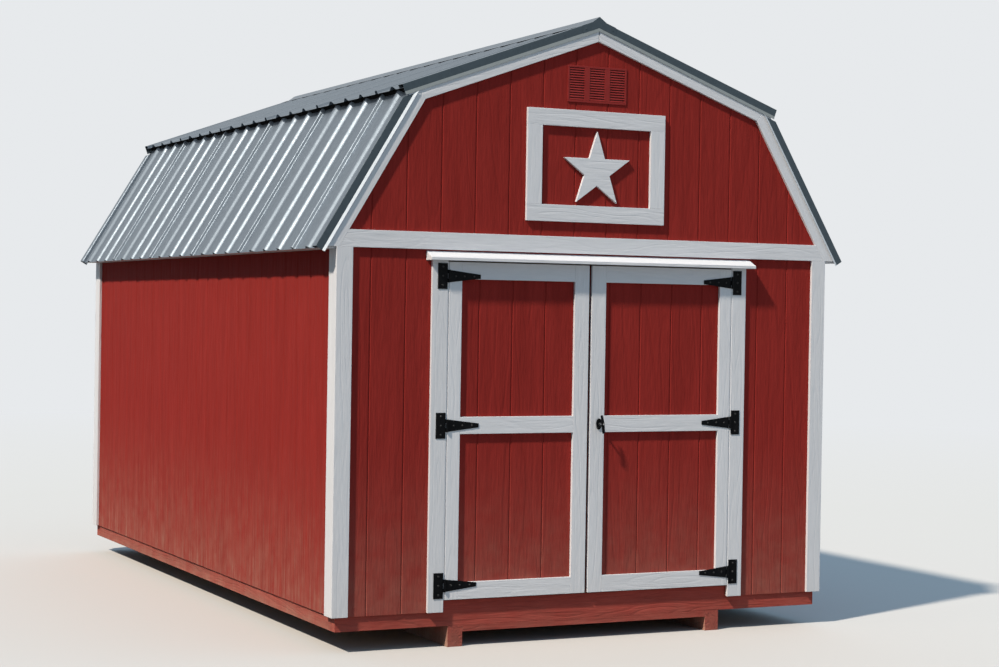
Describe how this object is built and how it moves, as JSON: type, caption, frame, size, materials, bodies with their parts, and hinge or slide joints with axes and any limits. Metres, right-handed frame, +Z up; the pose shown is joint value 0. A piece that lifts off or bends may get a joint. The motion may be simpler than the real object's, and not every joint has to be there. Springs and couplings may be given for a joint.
{
  "type": "barn-style portable storage shed",
  "caption": "Lofted-barn style wooden storage shed on skids: ribbed metal gambrel roof, red grooved panel walls, white trim, star on the gable and hinged double doors.",
  "frame": {"origin": "on the ground under the middle of the floor frame", "axes": "+Z up, +Y from the door end to the back, +X to the right as seen facing the doors"},
  "size_m": [3.3446, 5.0035, 3.4886],
  "materials": {
    "red_siding": "red painted engineered-wood panel with grain and vertical grooves",
    "white_trim": "white painted wood boards with an embossed grain",
    "red_timber": "red painted rough lumber",
    "bare_lumber": "bare planed softwood",
    "sheathing": "bare oriented-strand board",
    "roof_metal": "bare zinc-coated ribbed steel sheet",
    "black_hardware": "black satin paint",
    "red_vent": "red painted louvres"
  },
  "bodies": {
    "shed": {"back_wall": "red_siding", "door_header": "bare_lumber", "door_jamb_boards": "white_trim", "drip_cap": "white_trim", "eave_soffits": "white_trim", "end_corner_boards": "white_trim", "end_rims": "red_timber", "end_wall_plates": "bare_lumber", "end_wall_studs": "bare_lumber", "floor_deck": "sheathing", "floor_joists": "bare_lumber", "front_gable": "red_siding", "front_wall_head": "red_siding", "front_wall_left": "red_siding", "front_wall_right": "red_siding", "gable_bands": "white_trim", "gable_vents": "red_vent", "hinge_plates": "black_hardware", "left_lower_rafters": "bare_lumber", "left_skid": "red_timber", "left_upper_rafters": "bare_lumber", "left_wall": "red_siding", "lower_rake_boards": "white_trim", "lower_rake_metal": "roof_metal", "lower_roof_decks": "sheathing", "lower_roofing": "roof_metal", "ridge_cap": "roof_metal", "right_lower_rafters": "bare_lumber", "right_skid": "red_timber", "right_upper_rafters": "bare_lumber", "right_wall": "red_siding", "side_corner_boards": "white_trim", "side_rims": "red_timber", "side_wall_plates": "bare_lumber", "side_wall_studs": "bare_lumber", "skid_cross_boards": "red_timber", "star": "white_trim", "star_frame_rails": "white_trim", "star_frame_stiles": "white_trim", "upper_rake_boards": "white_trim", "upper_rake_metal": "roof_metal", "upper_roof_decks": "sheathing", "upper_roofing": "roof_metal"},
    "left_door": {"left_door_back_frame": "bare_lumber", "left_door_panel": "red_siding", "left_door_rails": "white_trim", "left_door_stiles": "white_trim", "left_door_straps": "black_hardware"},
    "right_door": {"handle_rose": "black_hardware", "right_door_back_frame": "bare_lumber", "right_door_panel": "red_siding", "right_door_rails": "white_trim", "right_door_stiles": "white_trim", "right_door_straps": "black_hardware"},
    "door_handle": {"t_handle": "black_hardware"}
  },
  "joints": [
    {"name": "left_door_swing", "type": "hinge", "parent": "shed", "child": "left_door", "pos_m": [-0.902, -2.474, 1.208], "axis": [0, 0, -1], "range_deg": [0, 170]},
    {"name": "right_door_swing", "type": "hinge", "parent": "shed", "child": "right_door", "pos_m": [0.902, -2.474, 1.208], "axis": [0, 0, 1], "range_deg": [0, 170]},
    {"name": "handle_turn", "type": "hinge", "parent": "right_door", "child": "door_handle", "pos_m": [0.036, -2.4675, 1.208], "axis": [0, -1, 0], "range_deg": [0, 90]}
  ]
}
